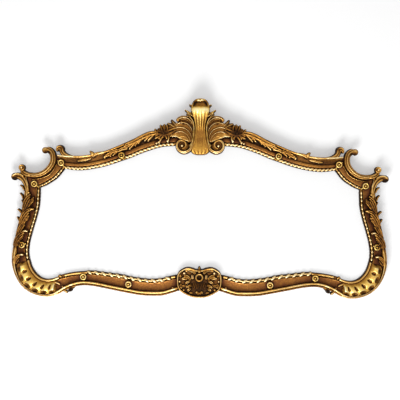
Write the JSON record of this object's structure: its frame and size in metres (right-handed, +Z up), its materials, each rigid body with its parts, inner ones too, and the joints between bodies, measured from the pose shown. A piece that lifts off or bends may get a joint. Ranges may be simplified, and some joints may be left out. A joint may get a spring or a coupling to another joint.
{
  "type": "overmantel mirror",
  "caption": "Wide landscape wall mirror in a carved and gilded rococo frame with shell crest, scrolled shoulders, rosettes, beaded sight edge and bottom cartouche",
  "frame": {"origin": "Middle of the backboards' back face, on the wall plane, at mid height of the frame", "axes": "+X to the right seen from the front, +Z up, -Y towards the room, so +Y points into the wall"},
  "size_m": [1.5098, 0.084, 0.799],
  "materials": {
    "gilding": "water-gilded carved wood, rubbed, brown toning in the hollows",
    "bright_gilding": "burnished water gilding on carved wood",
    "mirror_glass": "silvered plate glass",
    "pine": "aged, unpainted, sawn",
    "beech": "planed, unfinished",
    "felt": "pressed wool felt strip",
    "hanger_brass": "tarnished",
    "screw_steel": "dulled"
  },
  "bodies": {
    "frame": {"backboard_left": "pine", "backboard_middle": "pine", "backboard_right": "pine", "board_screw_1_left": "screw_steel", "board_screw_1_right": "screw_steel", "board_screw_2_left": "screw_steel", "board_screw_2_right": "screw_steel", "board_screw_middle_1": "screw_steel", "board_screw_middle_2": "screw_steel", "bottom_cartouche": "gilding", "bottom_rail": "gilding", "corner_gadroon_left": "bright_gilding", "corner_gadroon_right": "bright_gilding", "crest_foliage_left": "gilding", "crest_foliage_right": "gilding", "crest_shell": "bright_gilding", "crest_volute_left": "gilding", "crest_volute_right": "gilding", "hanger_strap_left": "hanger_brass", "hanger_strap_right": "hanger_brass", "joint_tongue_bottom_left": "beech", "joint_tongue_bottom_right": "beech", "joint_tongue_middle_left": "beech", "joint_tongue_middle_right": "beech", "joint_tongue_top_left": "beech", "joint_tongue_top_right": "beech", "mirror_plate": "mirror_glass", "plate_packing": "felt", "ribbon_left": "gilding", "ribbon_right": "gilding", "rosette_corner_upper_left": "bright_gilding", "rosette_corner_upper_right": "bright_gilding", "rosette_rail_inner_left": "bright_gilding", "rosette_rail_inner_right": "bright_gilding", "rosette_rail_outer_left": "bright_gilding", "rosette_rail_outer_right": "bright_gilding", "rosette_rail_upper_left": "bright_gilding", "rosette_rail_upper_right": "bright_gilding", "rosette_shoulder_left": "bright_gilding", "rosette_shoulder_right": "bright_gilding", "rosette_stile_left": "bright_gilding", "rosette_stile_right": "bright_gilding", "shoulder_left": "gilding", "shoulder_right": "gilding", "side_rail_left": "gilding", "side_rail_right": "gilding", "side_rope_left": "gilding", "side_rope_right": "gilding", "stile_acanthus_left": "gilding", "stile_acanthus_right": "gilding", "strap_screw_1_left": "screw_steel", "strap_screw_1_right": "screw_steel", "strap_screw_2_left": "screw_steel", "strap_screw_2_right": "screw_steel", "top_rail": "gilding", "top_rope_left": "gilding", "top_rope_right": "gilding"},
    "ring_left": {"hanger_ring_left": "hanger_brass"},
    "ring_right": {"hanger_ring_right": "hanger_brass"}
  },
  "joints": [
    {"name": "ring_left_swing", "type": "hinge", "parent": "frame", "child": "ring_left", "pos_m": [-0.683, -0.0041, 0.038], "axis": [1, 0, 0], "range_deg": [0, 180]},
    {"name": "ring_right_swing", "type": "hinge", "parent": "frame", "child": "ring_right", "pos_m": [0.683, -0.0041, 0.038], "axis": [1, 0, 0], "range_deg": [0, 180]}
  ]
}
